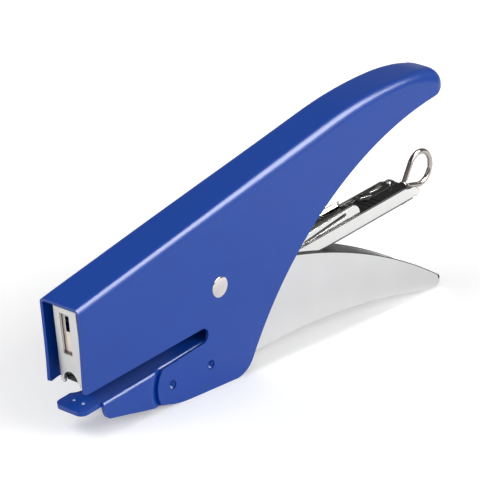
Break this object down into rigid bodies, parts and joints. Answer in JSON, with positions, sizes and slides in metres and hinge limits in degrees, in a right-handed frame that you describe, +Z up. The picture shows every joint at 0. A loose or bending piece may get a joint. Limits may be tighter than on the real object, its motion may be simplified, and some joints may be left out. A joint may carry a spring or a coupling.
{
  "type": "plier stapler",
  "caption": "Hand-squeezed plier stapler with a folded blue body, fixed lower jaw, chromed lever and tilting staple magazine with a pull-out follower.",
  "frame": {"origin": "on the table under the middle of the overall length, in the middle plane", "axes": "+X from the jaw to the handles' end, +Y across from the near side plate to the far one, +Z up"},
  "size_m": [0.1556, 0.016, 0.0708],
  "materials": {
    "blue_paint": "smooth satin enamel",
    "chrome": "bright nickel or chrome plate",
    "steel": "plain machined steel",
    "spring_steel": "drawn wire and hardened strip",
    "zinc": "zinc plated",
    "black_plastic": "matt black"
  },
  "bodies": {
    "frame": {"body_shell": "blue_paint", "lower_jaw": "blue_paint", "jaw_rivets": "blue_paint", "pivot_rivet": "chrome", "pivot_spacer": "steel", "inner_spacers": "steel", "outer_washers": "steel", "return_spring": "spring_steel"},
    "lever": {"lever_handle": "chrome", "driver_yoke": "steel", "driver_pin": "steel"},
    "magazine": {"magazine_channel": "chrome", "inner_frame": "chrome", "front_plate": "chrome", "saddle_plate": "steel", "frame_rivets": "chrome", "staple_strip": "zinc", "hold_down_spring": "spring_steel"},
    "driver": {"driver_blade": "spring_steel"},
    "follower": {"follower_plug": "black_plastic", "follower_rod": "spring_steel", "pull_ring": "chrome", "latch_spring": "zinc", "latch_rivet": "zinc", "follower_spring": "spring_steel"},
    "pusher": {"staple_pusher": "steel"}
  },
  "joints": [
    {"name": "lever_hinge", "type": "hinge", "parent": "frame", "child": "lever", "pos_m": [-0.0233, 0, 0.0297], "axis": [0, -1, 0], "range_deg": [0, 11.9], "stiffness_Nm_per_rad": 0.3, "springref_deg": -28.65, "deforming": ["return_spring"]},
    {"name": "magazine_hinge", "type": "hinge", "parent": "frame", "child": "magazine", "pos_m": [-0.0233, 0, 0.0297], "axis": [0, -1, 0], "range_deg": [0, 5.56], "deforming": ["hold_down_spring"]},
    {"name": "driver_slide", "type": "slide", "parent": "magazine", "child": "driver", "axis": [0.1184, 0, -0.993], "range_m": [0, 0.00526]},
    {"name": "follower_slide", "type": "slide", "parent": "magazine", "child": "follower", "axis": [0.993, 0, 0.1184], "range_m": [0, 0.075]},
    {"name": "pusher_slide", "type": "slide", "parent": "follower", "child": "pusher", "axis": [0.993, 0, 0.1184], "range_m": [0, 0.022], "stiffness_N_per_m": 60, "springref_m": -0.02, "deforming": ["follower_spring"]}
  ],
  "couplings": [
    {"joint": "magazine_hinge", "follows": "lever_hinge", "ratio": 0.4663},
    {"joint": "driver_slide", "follows": "lever_hinge", "m_per_rad": 0.02526}
  ]
}
